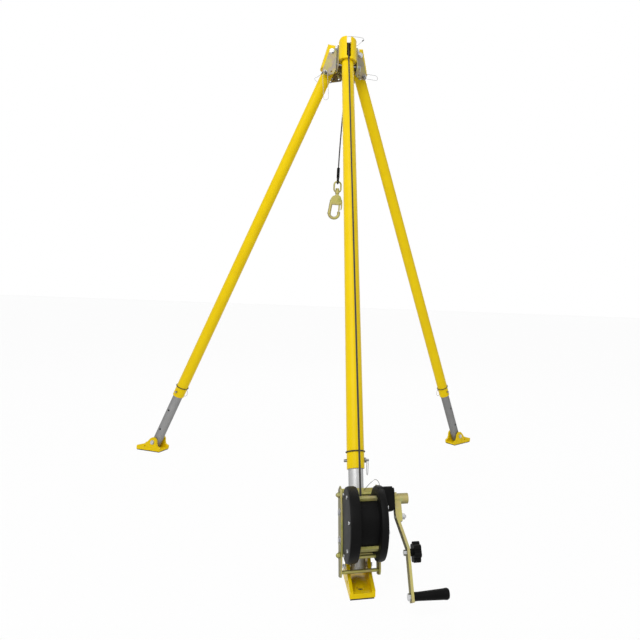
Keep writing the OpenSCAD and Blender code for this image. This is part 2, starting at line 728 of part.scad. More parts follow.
module crank_grip() color(black) on_crank() translate([0, 0, -crank_r]) rotate([0, 90, 0]) rotate_extrude() {
  x = arm_x + arm_t + 0.3;
  polygon([[5 + run_c, x], [grip_d / 2 - 5, x], [grip_d / 2 - 3.6, x + 2], [grip_d / 2 - 4, x + 12],
    [grip_d / 2 - 1, x + grip_len - 16], [grip_d / 2, x + grip_len - 6], [grip_d / 2 - 2.5, x + grip_len],
    [9.5, x + grip_len], [9.5, x + grip_len - 6], [5 + run_c, x + grip_len - 6]]);
}

// the bolts of the grip, the knob and the hub, fast in the arm
module grip_bolt() color(steel) on_crank() {
  translate([0, 0, -hub_bolt_z]) {
    xcyl(4, crank_x, hub_x1 + 14);
    xcyl(9.5, hub_x1, hub_x1 + 2);
    xhex(15, hub_x1 + 1.5, hub_x1 + 10);
  }
  translate([0, 0, -knob_z]) {
    xcyl(4, arm_x - 9, arm_x + arm_t + knob_off + 15);
    xhex(14, arm_x - 9, arm_x);
  }
  translate([0, 0, -crank_r]) grip_axle();
}

module grip_axle() {
  xcyl(5, arm_x - 8, arm_x + arm_t + grip_len - 4);
  xhex(16, arm_x - 8, arm_x);
  xcyl(8.5, arm_x + arm_t + grip_len - 5, arm_x + arm_t + grip_len - 1);
}

// load line

module rope_run() color(cordc) on_leg(0) translate([0, run_y0, run_z0]) rotate([-run_a, 0, 0])
  translate([0, 0, rope_d + 0.2]) cylinder(r = rope_r, h = run_len - rope_d - 0.2);

module rope_over() color(cordc) on_head(0) rotate([0, 90, 0]) rotate([0, 0, 90])
  rotate_extrude(angle = 180 - leg_lean - run_a) translate([sheave_r, 0]) circle(rope_r);

module rope_drop() color(cordc) translate([0, mid_y + line_y, head_z])
  sweep([for (i = [0:16]) let(t = i / 16, b = max(0, (t - 0.3) / 0.7))
    [hook_x * b * b * (3 - 2 * b), 0, -drop_len * t]], rope_r, 10);

module rope_eye() color(black) on_line() {
  translate([0, 0, 14]) cylinder(r = 7.5, h = 54);
  translate([0, 0, 1.8]) rotate([90, 0, 90]) rotate_extrude() translate([15, 0]) circle(4.5);
}

// a long eye on a boss, which turns on the hook's shank
module hook_swivel() color(zinc) on_line() difference() {
  union() {
    translate([0, 0, -eye_wire]) rotate([0, 0, 90]) wire_loop(35, 64 - 2 * eye_wire, eye_wire);
    translate([0, 0, -67]) cylinder(r = 10.5, h = 16);
  }
  translate([0, 0, -80]) cylinder(r = shank_r + run_c, h = 60);
}

module hook_shank() {
  translate([0, 0, -82]) cylinder(r = 8.5, h = 14.9);
  translate([0, 0, -82]) cylinder(r = shank_r, h = 40);
  translate([0, 0, -50.9]) cylinder(d = 18, h = 11, $fn = 6);
}

module hook_cheeks() difference() {
  translate([0, 8, 0]) rotate([90, 0, 0]) linear_extrude(16) polygon([[-9, -76], [9, -76], [18, -82], [22, -92],
    [22, -116], [8, -126], [-31, -126], [-30, -92], [-22, -82]]);
  translate([-4, -3.8, -140]) cube([49, 7.6, 48.5]);
  translate(gate_at) ycyl(gate_pin_r + run_c, -20, 20);
}

module hook_body() color(zinc) on_line() {
  hook_shank();
  hook_cheeks();
  translate([bowl_at[0] - bowl_r, 0, bowl_at[2]]) rotate([0, 8, 0]) cylinder(r = 8.3, h = 70);
  translate([bowl_at[0] - bowl_r, 0, bowl_at[2]]) sphere(r = 9.2);
  translate(bowl_at) rotate([90, 0, 0]) rotate([0, 0, 180]) rotate_extrude(angle = 180 + tip_a)
    translate([bowl_r, 0]) circle(7.6);
  translate(bowl_at + bowl_r * [cos(tip_a), 0, sin(tip_a)]) sphere(r = 8.2);
}

// the gate bar and its thumb lever, on one pin
module hook_gate() color(zinc) on_line() {
  translate([0, 3.5, 0]) rotate([90, 0, 0]) linear_extrude(7) polygon([
    [12, -98], [20, -95], [26, -98], [29, -112],
    [28.5, -140], [25, -152], [21.5, -150], [22.5, -128], [20, -122], [17.5, -132], [17, -156], [9, -156],
    [10.5, -120], [11, -104]]);
  translate(gate_at) ycyl(gate_pin_r, -9, 9);
  translate(gate_at) for (y = [-9.4, 8.1]) ycyl(4.6, y, y + 1.3);
}

head_plates();
head_spider();
leg_pivot_bolts();
sheave();
front_lock_pin();
left_lock_pin();
right_lock_pin();
front_yoke();
left_yoke();
right_yoke();
front_outer_tube();
left_outer_tube();
right_outer_tube();
front_guide_bush();
left_guide_bush();
right_guide_bush();
front_band();
left_band();
right_band();
front_leg_pin();
left_leg_pin();
right_leg_pin();
front_inner_tube();
left_inner_tube();
right_inner_tube();
front_foot();
left_foot();
right_foot();
front_foot_pad();
left_foot_pad();
right_foot_pad();
front_foot_bolt();
left_foot_bolt();
right_foot_bolt();
winch_saddle();
winch_clamps();
winch_straps();
winch_cross_bars();
winch_screws();
left_housing();
right_housing();
drum_guard();
drum();
drum_gear();
drum_axle();
drum_rope();
crank_shaft();
load_brake();
brake_pawl();
crank_arm();
crank_knob();
crank_grip();
grip_bolt();
rope_run();
rope_over();
rope_drop();
rope_eye();
hook_swivel();
hook_body();
hook_gate();
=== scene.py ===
import json
import math

import bmesh
import bpy
from mathutils import Matrix, Vector

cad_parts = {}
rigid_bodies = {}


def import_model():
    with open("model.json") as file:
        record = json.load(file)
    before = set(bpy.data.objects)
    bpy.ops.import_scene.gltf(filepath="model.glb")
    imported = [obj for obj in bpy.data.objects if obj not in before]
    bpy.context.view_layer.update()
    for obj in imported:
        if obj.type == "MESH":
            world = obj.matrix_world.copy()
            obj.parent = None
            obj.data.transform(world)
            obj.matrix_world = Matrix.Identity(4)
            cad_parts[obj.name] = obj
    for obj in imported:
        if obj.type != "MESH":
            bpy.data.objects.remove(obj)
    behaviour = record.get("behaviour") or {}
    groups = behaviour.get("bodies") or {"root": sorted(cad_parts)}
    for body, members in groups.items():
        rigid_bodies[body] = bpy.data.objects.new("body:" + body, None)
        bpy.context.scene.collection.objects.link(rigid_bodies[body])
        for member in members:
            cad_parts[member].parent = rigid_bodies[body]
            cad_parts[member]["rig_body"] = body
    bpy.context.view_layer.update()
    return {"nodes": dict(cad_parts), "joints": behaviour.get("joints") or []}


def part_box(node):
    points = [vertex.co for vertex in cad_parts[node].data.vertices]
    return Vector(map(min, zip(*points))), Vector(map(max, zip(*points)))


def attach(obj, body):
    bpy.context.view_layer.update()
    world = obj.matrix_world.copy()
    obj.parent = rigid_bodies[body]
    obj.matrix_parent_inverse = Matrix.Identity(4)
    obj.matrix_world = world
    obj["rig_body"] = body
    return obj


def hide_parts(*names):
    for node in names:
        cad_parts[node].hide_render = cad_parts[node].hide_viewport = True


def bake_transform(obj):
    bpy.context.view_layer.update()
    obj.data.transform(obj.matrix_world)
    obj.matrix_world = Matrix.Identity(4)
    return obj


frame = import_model()

MM = 0.001
LEGS = ("front", "left", "right")

# Camera, measured from the tripod's own axis at floor level
CAMERA_FROM_AXIS = Vector((-0.3258, -2.7147, 0.8834))
CAMERA_FORWARD = Vector((0.22543, 0.96930, 0.09819))
CAMERA_ROLL = math.radians(2.373)
CAMERA_LENS = 29.77
CAMERA_SENSOR = 36.0
CAMERA_SHIFT = (-0.115, -0.116)

# Load line: rope, its path round the sheave and the drum, and the points along it
ROPE_D = 7.0 * MM
SHEAVE_R = 34.0 * MM
WIND_R = 60.0 * MM
WIND_PITCH = ROPE_D + 0.5 * MM
WIND_TURNS = 3
WIND_RINGS = 60
RUN_GAP = 0.2 * MM
RUN_STEP = 3.0 * MM
OVER_STEPS = 40
DROP_STEPS = 200
DROP_STRAIGHT = 0.3

# Safety wires
WIRE_D = 2.0 * MM
WIRE_STEP = 2.0 * MM
SLEEVE_LENGTH = 12.0 * MM
SLEEVE_D = 5.0 * MM


# Places worked out from the frame

def joint(name):
    return next(j for j in frame["joints"] if j["name"] == name)


def joint_pos(name):
    return Vector(joint(name)["pos_m"])


class Leg:
    """A leg's own frame: x across it, y inward, z up it, from the foot pivot."""

    def __init__(self, name):
        self.name = name
        self.foot = joint_pos(name + "_foot_swivel")
        self.head = joint_pos(name + "_fold")
        self.across = Vector(joint(name + "_fold")["axis"]).normalized()
        self.up = -Vector(joint(name + "_extend")["axis"]).normalized()
        self.inward = self.up.cross(self.across)
        self.length = (self.head - self.foot).length

    def at(self, x, y, z):
        return self.foot + self.across * x + self.inward * y + self.up * z

    def at_head(self, x, y, z):
        """A point from the leg's pivot: across, level inward, and up, in mm."""
        level_in = Vector((0, 0, 1)).cross(self.across)
        return self.head + (self.across * x + level_in * y + Vector((0, 0, z))) * MM

    def matrix(self):
        turn = Matrix((self.across, self.inward, self.up)).transposed().to_4x4()
        return Matrix.Translation(self.foot) @ turn


legs = {name: Leg(name) for name in LEGS}
axis_point = sum((legs[name].head for name in LEGS), Vector()) / len(LEGS)
head_z = axis_point.z
axis_floor = Vector((axis_point.x, axis_point.y, 0.0))


# Material helpers

def new_material(name):
    material = bpy.data.materials.new(name)
    material.use_nodes = True
    tree = material.node_tree
    return material, tree, tree.nodes["Principled BSDF"]


def add(tree, kind, **values):
    node = tree.nodes.new(kind)
    for key, value in values.items():
        if key in node.inputs:
            node.inputs[key].default_value = value
        else:
            setattr(node, key, value)
    return node


def object_coords(tree, scale=(1, 1, 1), turn=(0, 0, 0)):
    coords = add(tree, "ShaderNodeTexCoord")
    mapping = add(tree, "ShaderNodeMapping", Scale=scale, Rotation=turn)
    tree.links.new(coords.outputs["Object"], mapping.inputs["Vector"])
    return mapping.outputs["Vector"]


def noise(tree, vector, scale, detail=3.0, roughness=0.55):
    node = add(tree, "ShaderNodeTexNoise", Scale=scale, Detail=detail, Roughness=roughness)
    tree.links.new(vector, node.inputs["Vector"])
    return node.outputs["Fac"]


def ramp(tree, factor, stops):
    node = add(tree, "ShaderNodeValToRGB")
    elements = node.color_ramp.elements
    while len(elements) < len(stops):
        elements.new(0.5)
    for element, (place, colour) in zip(elements, stops):
        element.position = place
        element.color = (*colour, 1.0)
    tree.links.new(factor, node.inputs["Fac"])
    return node.outputs["Color"]


def level(tree, factor, low, high):
    node = add(tree, "ShaderNodeMapRange")
    node.inputs["To Min"].default_value = low
    node.inputs["To Max"].default_value = high
    tree.links.new(factor, node.inputs["Value"])
    return node.outputs["Result"]


def mix_colour(tree, factor, first, second, blend="MIX"):
    node = add(tree, "ShaderNodeMix", data_type="RGBA", blend_type=blend)
    for socket, value in (("Factor", factor), ("A", first), ("B", second)):
        place = next(s for s in node.inputs if s.name == socket and s.enabled)
        if isinstance(value, bpy.types.NodeSocket):
            tree.links.new(value, place)
        elif isinstance(value, tuple):
            place.default_value = (*value, 1.0)
        else:
            place.default_value = value
    return next(s for s in node.outputs if s.enabled)


def bump(tree, shader, height, strength, distance):
    node = add(tree, "ShaderNodeBump", Strength=strength, Distance=distance)
    tree.links.new(height, node.inputs["Height"])
    tree.links.new(node.outputs["Normal"], shader.inputs["Normal"])


def painted_grazing_shade(tree, most):
    """Painted shade: nought where a surface faces the eye, and up to the given share where it turns away, for
    darker edges in the base colour.
    """
    weight = add(tree, "ShaderNodeLayerWeight", Blend=0.5)
    return level(tree, weight.outputs["Facing"], 0.0, most)


def along(axis):
    """Turn for a Mapping node that lays a pattern's z along an axis."""
    return axis.to_track_quat("Z", "Y").inverted().to_euler()


# Materials

def yellow_coat(name, cast=False):
    material, tree, shader = new_material(name)
    place = object_coords(tree)
    cloud = noise(tree, place, 9.0, 4.0)
    tint = ramp(tree, cloud, ((0.3, (0.86, 0.600, 0.002)), (0.7, (0.91, 0.660, 0.003))))
    specks = ramp(tree, noise(tree, place, 160.0, 2.0), ((0.70, (0, 0, 0)), (0.76, (1, 1, 1))))
    dusty = mix_colour(tree, specks, tint, (0.78, 0.56, 0.01))
    tree.links.new(dusty, shader.inputs["Base Color"])
    tree.links.new(level(tree, cloud, 0.26, 0.38), shader.inputs["Roughness"])
    shader.inputs["Specular IOR Level"].default_value = 0.12
    grain = noise(tree, place, 420.0 if cast else 900.0, 3.0)
    bump(tree, shader, grain, 0.35 if cast else 0.12, 0.0006 if cast else 0.0003)
    return material


RAINBOW_ZINC = ((0.30, (0.30, 0.31, 0.08)), (0.42, (0.40, 0.35, 0.13)), (0.52, (0.37, 0.30, 0.17)),
                (0.62, (0.30, 0.26, 0.22)), (0.74, (0.33, 0.34, 0.17)))
GOLDEN_ZINC = ((0.30, (0.34, 0.34, 0.08)), (0.45, (0.46, 0.42, 0.12)), (0.60, (0.43, 0.36, 0.14)),
               (0.75, (0.38, 0.41, 0.16)))


def zinc_plate(name, stops):
    material, tree, shader = new_material(name)
    place = object_coords(tree)
    drift = noise(tree, place, 22.0, 3.0)
    rainbow = ramp(tree, drift, stops)
    scuffs = ramp(tree, noise(tree, place, 240.0, 4.0, 0.7), ((0.55, (0, 0, 0)), (0.75, (1, 1, 1))))
    worn = mix_colour(tree, scuffs, rainbow, (0.42, 0.40, 0.28))
    # Painted shade: the zinc colour turns darker towards edges that turn away from the eye.
    shaded_at_edges = mix_colour(tree, painted_grazing_shade(tree, 0.85), worn, (0.05, 0.045, 0.02))
    tree.links.new(shaded_at_edges, shader.inputs["Base Color"])
    shader.inputs["Metallic"].default_value = 0.6
    tree.links.new(level(tree, noise(tree, place, 60.0, 3.0), 0.44, 0.60), shader.inputs["Roughness"])
    bump(tree, shader, noise(tree, place, 700.0, 2.0), 0.08, 0.0003)
    return material


# Painted light: the three inner tubes are one aluminium, given a lit brightness for the front leg and shaded
# ones for the left and right legs.
TUBE_PAINTED_LIGHT = {"front": 0.62, "left": 0.34, "right": 0.26}


def satin_aluminium(name, axis, painted_light_level):
    material, tree, shader = new_material(name)
    lined = object_coords(tree, scale=(900.0, 900.0, 6.0), turn=along(axis))
    lines = noise(tree, lined, 1.0, 2.0)
    place = object_coords(tree)
    cloud = noise(tree, place, 30.0, 4.0)
    # Painted light: the whole colour is scaled by how lit this leg's tube is meant to look.
    base = ramp(tree, cloud, ((0.3, (0.92 * painted_light_level,) * 3), (0.7, (1.1 * painted_light_level,) * 3)))
    streaked = mix_colour(tree, level(tree, lines, 0.0, 0.35), base, (0.7 * painted_light_level,) * 3)
    # Painted shade: the aluminium colour turns darker towards edges that turn away from the eye.
    shaded_at_edges = mix_colour(tree, painted_grazing_shade(tree, 0.7), streaked, (0.12 * painted_light_level,) * 3)
    tree.links.new(shaded_at_edges, shader.inputs["Base Color"])
    shader.inputs["Metallic"].default_value = 0.45
    tree.links.new(level(tree, lines, 0.34, 0.5), shader.inputs["Roughness"])
    bump(tree, shader, lines, 0.12, 0.0002)
    return material


def plain_steel(name, dark, light):
    material, tree, shader = new_material(name)
    place = object_coords(tree)
    cloud = noise(tree, place, 80.0, 3.0)
    base = ramp(tree, cloud, ((0.3, dark), (0.7, light)))
    tree.links.new(base, shader.inputs["Base Color"])
    shader.inputs["Metallic"].default_value = 0.95
    tree.links.new(level(tree, noise(tree, place, 300.0), 0.18, 0.34), shader.inputs["Roughness"])
    bump(tree, shader, noise(tree, place, 900.0, 2.0), 0.06, 0.0002)
    return material


def black_plastic(name):
    material, tree, shader = new_material(name)
    place = object_coords(tree)
    cloud = noise(tree, place, 14.0, 4.0)
    base = ramp(tree, cloud, ((0.3, (0.003, 0.003, 0.003)), (0.7, (0.006, 0.006, 0.006))))
    scratch_place = object_coords(tree, scale=(40.0, 700.0, 40.0), turn=(0.3, 0.5, 0.2))
    scratches = ramp(tree, noise(tree, scratch_place, 1.0, 2.0), ((0.70, (0, 0, 0)), (0.78, (1, 1, 1))))
    scuffed = mix_colour(tree, level(tree, scratches, 0.0, 0.25), base, (0.025, 0.025, 0.025))
    tree.links.new(scuffed, shader.inputs["Base Color"])
    tree.links.new(level(tree, cloud, 0.42, 0.56), shader.inputs["Roughness"])
    shader.inputs["Specular IOR Level"].default_value = 0.06
    bump(tree, shader, noise(tree, place, 1100.0, 2.0), 0.25, 0.0004)
    return material


def black_rubber(name):
    material, tree, shader = new_material(name)
    place = object_coords(tree)
    dust = noise(tree, place, 40.0, 5.0)
    base = ramp(tree, dust, ((0.35, (0.010, 0.010, 0.010)), (0.75, (0.032, 0.031, 0.029))))
    tree.links.new(base, shader.inputs["Base Color"])
    tree.links.new(level(tree, dust, 0.7, 0.88), shader.inputs["Roughness"])
    bump(tree, shader, noise(tree, place, 500.0), 0.3, 0.0004)
    return material


def dark_rope(name):
    material, tree, shader = new_material(name)
    coords = add(tree, "ShaderNodeTexCoord")
    fine = add(tree, "ShaderNodeMapping", Scale=(60.0, 900.0, 1.0))
    tree.links.new(coords.outputs["UV"], fine.inputs["Vector"])
    fibres = noise(tree, fine.outputs["Vector"], 3.0, 3.0)
    base = ramp(tree, fibres, ((0.3, (0.012, 0.011, 0.010)), (0.7, (0.045, 0.042, 0.038))))
    tree.links.new(base, shader.inputs["Base Color"])
    shader.inputs["Roughness"].default_value = 0.8
    shader.inputs["Sheen Weight"].default_value = 0.2
    bump(tree, shader, fibres, 0.3, 0.0003)
    return material


finish_of = {
    "yellow_coat": yellow_coat("yellow_coat"),
    "cast_yellow": yellow_coat("cast_yellow", cast=True),
    "zinc_plate": zinc_plate("zinc_plate", RAINBOW_ZINC),
    "zinc_gold": zinc_plate("zinc_gold", GOLDEN_ZINC),
    "bright_steel": plain_steel("bright_steel", (0.44, 0.45, 0.46), (0.58, 0.58, 0.59)),
    "wire_steel": plain_steel("wire_steel", (0.24, 0.24, 0.25), (0.36, 0.36, 0.36)),
    "black_plastic": black_plastic("black_plastic"),
    "black_rubber": black_rubber("black_rubber"),
    "dark_rope": dark_rope("dark_rope"),
}
# Painted light: one aluminium material for each leg, lit or shaded by its level.
for leg_name, painted_light_level in TUBE_PAINTED_LIGHT.items():
    finish_of[leg_name + "_aluminium"] = satin_aluminium(leg_name + "_aluminium", legs[leg_name].up, painted_light_level)


# Pieces made from CAD nodes, with their edges rounded

def link(obj):
    bpy.context.scene.collection.objects.link(obj)
    return obj


def shade(mesh, angle=32.0):
    mesh.polygons.foreach_set("use_smooth", [True] * len(mesh.polygons))
    mesh.set_sharp_from_angle(angle=math.radians(angle))


def flatten_modifiers(obj):
    graph = bpy.context.evaluated_depsgraph_get()
    mesh = bpy.data.meshes.new_from_object(obj.evaluated_get(graph), depsgraph=graph)
    obj.modifiers.clear()
    obj.data = mesh
    return obj


def rounded_copy(node, width, finish, segments=2, angle=38.0):
    """A merged copy of a CAD node with its sharp edges rounded, which stands for the node."""
    source = frame["nodes"][node]
    bm = bmesh.new()
    bm.from_mesh(source.data)
    bmesh.ops.remove_doubles(bm, verts=bm.verts, dist=0.02 * MM)
    bmesh.ops.dissolve_limit(bm, angle_limit=math.radians(0.6), verts=bm.verts, edges=bm.edges)
    sharp = [e for e in bm.edges if len(e.link_faces) == 2 and e.calc_face_angle(0) > math.radians(angle)]
    if width > 0:
        bmesh.ops.bevel(bm, geom=sharp, offset=width, segments=segments, profile=0.5,
                        affect="EDGES", clamp_overlap=True)
    bmesh.ops.triangulate(bm, faces=[f for f in bm.faces if len(f.verts) > 4])
    mesh = bpy.data.meshes.new(node + "_piece")
    bm.to_mesh(mesh)
    bm.free()
    shade(mesh)
    obj = link(bpy.data.objects.new(node + "_piece", mesh))
    weighted = obj.modifiers.new("weighted", "WEIGHTED_NORMAL")
    weighted.keep_sharp = True
    flatten_modifiers(obj)
    obj.data.materials.clear()
    obj.data.materials.append(finish_of[finish])
    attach(obj, source["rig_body"])
    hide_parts(node)
    return obj


per_leg = {
    "yoke": (2.0, "cast_yellow"), "outer_tube": (0.5, "yellow_coat"), "guide_bush": (0.3, "black_plastic"),
    "band": (0.0, "black_rubber"), "leg_pin": (0.4, "wire_steel"), "lock_pin": (0.4, "wire_steel"),
    "foot": (2.2, "cast_yellow"), "foot_pad": (0.8, "black_rubber"), "foot_bolt": (0.8, "bright_steel"),
}
shared = {
    "head_plates": (0.8, "zinc_plate"), "head_spider": (0.8, "zinc_plate"),
    "leg_pivot_bolts": (0.8, "bright_steel"), "sheave": (0.5, "black_plastic"),
    "winch_saddle": (0.8, "zinc_gold"), "winch_clamps": (0.6, "zinc_gold"),
    "winch_straps": (0.7, "zinc_gold"), "winch_cross_bars": (0.7, "zinc_gold"),
    "winch_screws": (0.7, "bright_steel"), "left_housing": (1.5, "black_plastic"),
    "right_housing": (3.0, "black_plastic"), "drum_guard": (0.6, "black_plastic"),
    "drum": (0.6, "bright_steel"), "drum_gear": (0.3, "bright_steel"), "drum_axle": (0.5, "bright_steel"),
    "crank_shaft": (0.4, "bright_steel"), "load_brake": (0.4, "bright_steel"),
    "brake_pawl": (0.3, "bright_steel"), "crank_arm": (1.0, "zinc_gold"),
    "crank_knob": (2.2, "black_plastic"), "crank_grip": (1.2, "black_plastic"),
    "grip_bolt": (0.7, "bright_steel"), "rope_eye": (0.5, "black_plastic"),
    "hook_swivel": (0.6, "zinc_gold"), "hook_body": (1.2, "zinc_gold"), "hook_gate": (0.7, "zinc_gold"),
}

for leg_name in LEGS:
    rounding = dict(per_leg, inner_tube=(0.4, leg_name + "_aluminium"))
    for part, (width, finish) in rounding.items():
        node = leg_name + "_" + part
        rounded_copy(node, width * MM, finish)
for node, (width, finish) in shared.items():
    rounded_copy(node, width * MM, finish)


# Load line

def braided_tube(name, points, diameter, finish="dark_rope", around=16, carriers=4, lay=0.022, braid=True):
    """A tube along points with the raised crossings of a braid, and a UV map that follows it."""
    path = [Vector(p) for p in points]
    tangents = []
    for i, _ in enumerate(path):
        ahead = path[min(i + 1, len(path) - 1)] - path[max(i - 1, 0)]
        tangents.append(ahead.normalized())
    side = tangents[0].orthogonal().normalized()
    bm = bmesh.new()
    uv = bm.loops.layers.uv.new("UVMap")
    rings = []
    travelled = [0.0]
    for i, point in enumerate(path):
        if i:
            travelled.append(travelled[-1] + (point - path[i - 1]).length)
        side = (side - tangents[i] * side.dot(tangents[i])).normalized()
        other = tangents[i].cross(side)
        ring = []
        for k in range(around):
            angle = 2 * math.pi * k / around
            turn = 2 * math.pi * travelled[i] / lay
            wave = math.cos(carriers * angle + turn)
            if braid:
                wave = max(wave, math.cos(carriers * angle - turn))
            radius = diameter / 2 * (0.95 + 0.05 * wave)
            spoke = side * radius * math.cos(angle) + other * radius * math.sin(angle)
            ring.append(bm.verts.new(point + spoke))
        rings.append(ring)
    for i in range(len(rings) - 1):
        for k in range(around):
            n = (k + 1) % around
            face = bm.faces.new((rings[i][k], rings[i][n], rings[i + 1][n], rings[i + 1][k]))
            places = ((k, i), (k + 1, i), (k + 1, i + 1), (k, i + 1))
            for loop, (u, v) in zip(face.loops, places):
                loop[uv].uv = (u / around, travelled[v])
            face.smooth = True
    bm.faces.new(list(reversed(rings[0])))
    bm.faces.new(rings[-1])
    bmesh.ops.recalc_face_normals(bm, faces=bm.faces)
    mesh = bpy.data.meshes.new(name)
    bm.to_mesh(mesh)
    bm.free()
    mesh.materials.append(finish_of[finish])
    return link(bpy.data.objects.new(name, mesh))


def line_points(start, end, step):
    count = max(2, int((end - start).length / step) + 1)
    return [start.lerp(end, i / (count - 1)) for i in range(count)]


front = legs["front"]
winch_centre = joint_pos("drum_spin")
drum_local = front.matrix().inverted() @ winch_centre
winch_out = -drum_local.y
winch_up = drum_local.z
span = Vector((winch_out, front.length - winch_up))
run_tilt = math.atan2(span.x, span.y) - math.asin((WIND_R + SHEAVE_R) / span.length)
run_start = front.at(0, -winch_out + WIND_R * math.cos(run_tilt), winch_up - WIND_R * math.sin(run_tilt))
run_length = math.sqrt(span.length ** 2 - (WIND_R + SHEAVE_R) ** 2)
run_dir = front.up * math.cos(run_tilt) + front.inward * math.sin(run_tilt)
run_end = run_start + run_dir * run_length
lift_off = run_start + run_dir * ROPE_D

run_points = line_points(lift_off + run_dir * RUN_GAP, run_end, RUN_STEP)
rope_run = braided_tube("rope_run_braid", run_points, ROPE_D)
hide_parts("rope_run")
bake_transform(rope_run)

# Over the sheave, from where the run meets it to where the rope hangs straight down
sheave_centre = joint_pos("sheave_spin")
start_angle = math.atan2((run_end - sheave_centre).z, (run_end - sheave_centre).y)
sweep_angle = start_angle % (2 * math.pi)
over_points = []
for i in range(OVER_STEPS + 1):
    angle = sweep_angle * (1 - i / OVER_STEPS)
    over_points.append(sheave_centre + Vector((0, math.cos(angle), math.sin(angle))) * SHEAVE_R)
rope_over = braided_tube("rope_over_braid", over_points, ROPE_D)
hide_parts("rope_over")
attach(rope_over, "head")

# Down from the sheave to the rope eye
drop_low, drop_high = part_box("rope_drop")
hook_x = joint_pos("hook_turn").x
drop_length = drop_high.z - drop_low.z


def drop_point(share):
    """A point of the hanging rope, straight at first and then drifting over to the hook."""
    bend = max(0.0, (share - DROP_STRAIGHT) / (1 - DROP_STRAIGHT))
    drift = hook_x * bend * bend * (3 - 2 * bend)
    return Vector((drift, sheave_centre.y + SHEAVE_R, head_z - drop_length * share))


drop_points = [drop_point(i / DROP_STEPS) for i in range(DROP_STEPS + 1)]
rope_drop = braided_tube("rope_drop_braid", drop_points, ROPE_D)
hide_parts("rope_drop")
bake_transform(rope_drop)

# Round the drum, from where the run lifts off it
wind_points = [lift_off]
for i in range(WIND_TURNS * WIND_RINGS + 1):
    turn = -run_tilt - 2 * math.pi * i / WIND_RINGS
    out = -winch_out + WIND_R * math.cos(turn)
    up = winch_up + WIND_R * math.sin(turn)
    wind_points.append(front.at(WIND_PITCH * i / WIND_RINGS, out, up))
drum_rope = braided_tube("drum_rope_braid", wind_points, ROPE_D)
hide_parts("drum_rope")
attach(drum_rope, "drum")


# Safety wires with their crimped sleeves

def smooth_path(knots, step):
    """A curve through all the knots, in steps of about one length."""
    ends = [2 * knots[0] - knots[1], *knots, 2 * knots[-1] - knots[-2]]
    points = []
    for a, b, c, d in zip(ends, ends[1:], ends[2:], ends[3:]):
        count = max(2, int((c - b).length / step))
        for i in range(count):
            t = i / count
            points.append(0.5 * (2 * b + (c - a) * t + (2 * a - 5 * b + 4 * c - d) * t * t
                                 + (3 * b - a - 3 * c + d) * t ** 3))
    return [*points, knots[-1]]


def crimped_sleeve(name, points, middle, length, diameter):
    """A sleeve pressed on a wire, round the point of its path with that number."""
    axis = (points[middle + 1] - points[middle - 1]).normalized()
    side = axis.orthogonal().normalized()
    other = axis.cross(side)
    half_profile = ((0.0, 1.0), (0.2, 0.94), (0.38, 1.0), (0.46, 0.86), (0.5, 0.62))
    profile = [(-place, share) for place, share in reversed(half_profile[1:])] + list(half_profile)
    around = 20
    bm = bmesh.new()
    rings = []
    for along_share, radius_share in profile:
        centre = points[middle] + axis * length * along_share
        radius = diameter / 2 * radius_share
        ring = []
        for k in range(around):
            angle = 2 * math.pi * k / around
            spoke = (side * math.cos(angle) + other * math.sin(angle)) * radius
            ring.append(bm.verts.new(centre + spoke))
        rings.append(ring)
    for low, high in zip(rings, rings[1:]):
        for k in range(around):
            n = (k + 1) % around
            bm.faces.new((low[k], low[n], high[n], high[k]))
    bm.faces.new(list(reversed(rings[0])))
    bm.faces.new(rings[-1])
    bmesh.ops.recalc_face_normals(bm, faces=bm.faces)
    mesh = bpy.data.meshes.new(name)
    bm.to_mesh(mesh)
    bm.free()
    shade(mesh)
    mesh.materials.append(finish_of["black_plastic"])
    return link(bpy.data.objects.new(name, mesh))


def safety_wire(name, knots, body, sleeve_at):
    """A twisted steel wire through the knots, with both ends on the object."""
    points = smooth_path([Vector(k) for k in knots], WIRE_STEP)
    wire = braided_tube(name, points, WIRE_D, "wire_steel", around=12, carriers=6, lay=0.016, braid=False)
    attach(wire, body)
    for i, share in enumerate(sleeve_at):
        middle = int(share * (len(points) - 1))
        sleeve_name = name + "_sleeve_" + str(i + 1)
        sleeve = crimped_sleeve(sleeve_name, points, middle, SLEEVE_LENGTH, SLEEVE_D)
        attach(sleeve, body)


left = legs["left"]
# Wires' knots in mm: from the leg's pivot for the first two, from its foot for the winch's
LEFT_PIN_WIRE = ((70, -30, -114), (66, -48, -128), (50, -82, -136), (30, -104, -130), (6, -110, -132),
                 (-22, -102, -134), (-48, -84, -130), (-62, -54, -122), (-58, -30, -114))
safety_wire("left_pin_wire", [left.at_head(*k) for k in LEFT_PIN_WIRE], "head", (0.08, 0.92))
YOKE_WIRE = ((-13, -39, 47), (-4, -39, 53), (12, -40, 56), (40, -38, 58), (70, -32, 61), (80, -29, 56),
             (74, -27, 47), (64, -25, 36), (52, -23, 24), (44, -22, 17))
safety_wire("yoke_wire", [front.at_head(*k) for k in YOKE_WIRE], "front_leg", (0.72,))
WINCH_WIRE = ((20, -32, 208), (24, -44, 214), (38, -58, 228), (54, -62, 237), (65, -60, 228), (67, -60, 214),
              (62, -60, 204), (57, -60, 202))
safety_wire("winch_wire", [front.at(*(v * MM for v in k)) for k in WINCH_WIRE], "front_lower", (0.9,))


# Small fasteners and welds, grown by Geometry Nodes

def node_group(name, sizes):
    tree = bpy.data.node_groups.new(name, "GeometryNodeTree")
    tree.interface.new_socket("Geometry", in_out="INPUT", socket_type="NodeSocketGeometry")
    for label, value in sizes.items():
        socket = tree.interface.new_socket(label, in_out="INPUT", socket_type="NodeSocketFloat")
        socket.default_value = value
    tree.interface.new_socket("Geometry", in_out="OUTPUT", socket_type="NodeSocketGeometry")
    return tree, tree.nodes.new("NodeGroupInput"), tree.nodes.new("NodeGroupOutput")


